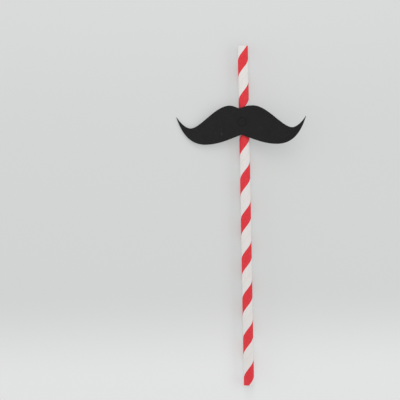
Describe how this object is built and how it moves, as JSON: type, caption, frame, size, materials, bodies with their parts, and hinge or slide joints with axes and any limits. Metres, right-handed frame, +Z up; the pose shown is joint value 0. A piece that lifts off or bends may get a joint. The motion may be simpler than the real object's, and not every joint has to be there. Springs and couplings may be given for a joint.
{
  "type": "paper party straw with card moustache",
  "caption": "White paper drinking straw with a red helical stripe and a black die-cut card moustache glued flat across its front.",
  "frame": {"origin": "middle of the straw's foot end, on the axis of its bore", "axes": "+Y along the straw from its foot end to its mouth end, +Z up from the table that it lies on, +X to the right of someone who looks down with the mouth end at the top; the card faces up and to the left, rolled 9.2 degrees about Y, so that its left tip meets the table"},
  "size_m": [0.0791, 0.21, 0.0133],
  "materials": {
    "white_paper": "matte uncoated paper, spiral wound",
    "red_print": "matte red ink on paper",
    "black_card": "matte black card, die-cut",
    "hot_melt_glue": "milky hot-melt glue"
  },
  "bodies": {
    "root": {"straw_tube": "white_paper", "red_stripe": "red_print", "moustache": "black_card", "glue_dot": "hot_melt_glue"}
  },
  "joints": []
}
